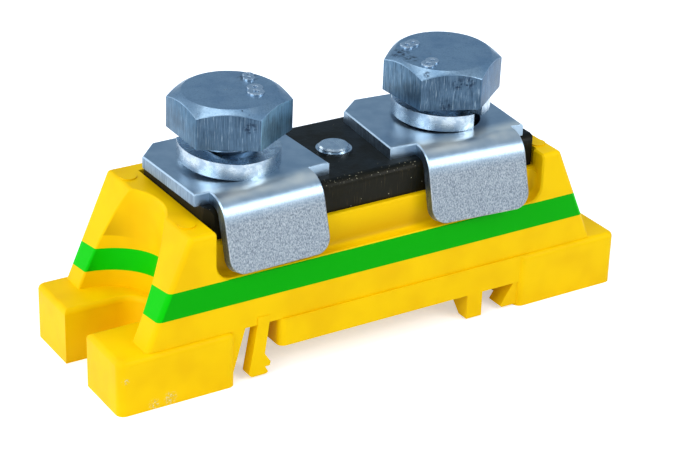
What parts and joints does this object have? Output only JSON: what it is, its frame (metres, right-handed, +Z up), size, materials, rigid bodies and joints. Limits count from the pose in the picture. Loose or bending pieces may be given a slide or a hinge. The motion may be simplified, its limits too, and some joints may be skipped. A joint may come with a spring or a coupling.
{
  "type": "earth connection terminal",
  "caption": "Rail-mounted earth terminal: long moulded housing with open fixing slots and a rail latch, a flat bar in its top, bent clamp plates, spring washers and hexagon screws.",
  "frame": {"origin": "middle of the foot's underside, halfway between the two open fixing slots", "axes": "+X along the terminal towards the end with the fixed rail hook, +Y across it away from the side where the clamp tabs hang, +Z up out of the foot"},
  "size_m": [0.072, 0.0246, 0.0335],
  "materials": {
    "yellow_polyamide": "moulded satin, with a green stripe",
    "blackened_steel": "blackened, worn at the edges",
    "zinc_plated_plate": "zinc plated, satin",
    "bright_zinc": "zinc plated, bright",
    "zinc_plated_screw": "zinc plated, blue passivated"
  },
  "bodies": {
    "root": {"housing": "yellow_polyamide", "earth_bar": "blackened_steel", "bar_rivet": "bright_zinc"},
    "left_clamp": {"left_clamp_plate": "zinc_plated_plate", "left_spring_washer": "bright_zinc"},
    "right_clamp": {"right_clamp_plate": "zinc_plated_plate", "right_spring_washer": "bright_zinc"},
    "left_screw": {"left_clamp_bolt": "zinc_plated_screw"},
    "right_screw": {"right_clamp_bolt": "zinc_plated_screw"}
  },
  "joints": [
    {"name": "left_clamp_lift", "type": "slide", "parent": "root", "child": "left_clamp", "axis": [0, 0, 1], "range_m": [0, 0.005]},
    {"name": "left_screw_turn", "type": "hinge", "parent": "left_clamp", "child": "left_screw", "pos_m": [-0.0154, 0, 0.0224], "axis": [0, 0, 1], "range_deg": [0, 1440]},
    {"name": "right_clamp_lift", "type": "slide", "parent": "root", "child": "right_clamp", "axis": [0, 0, 1], "range_m": [0, 0.005]},
    {"name": "right_screw_turn", "type": "hinge", "parent": "right_clamp", "child": "right_screw", "pos_m": [0.015, 0, 0.0224], "axis": [0, 0, 1], "range_deg": [0, 1440]}
  ],
  "couplings": [
    {"joint": "left_screw_turn", "follows": "left_clamp_lift", "rad_per_m": 5026.5},
    {"joint": "right_screw_turn", "follows": "right_clamp_lift", "rad_per_m": 5026.5}
  ]
}
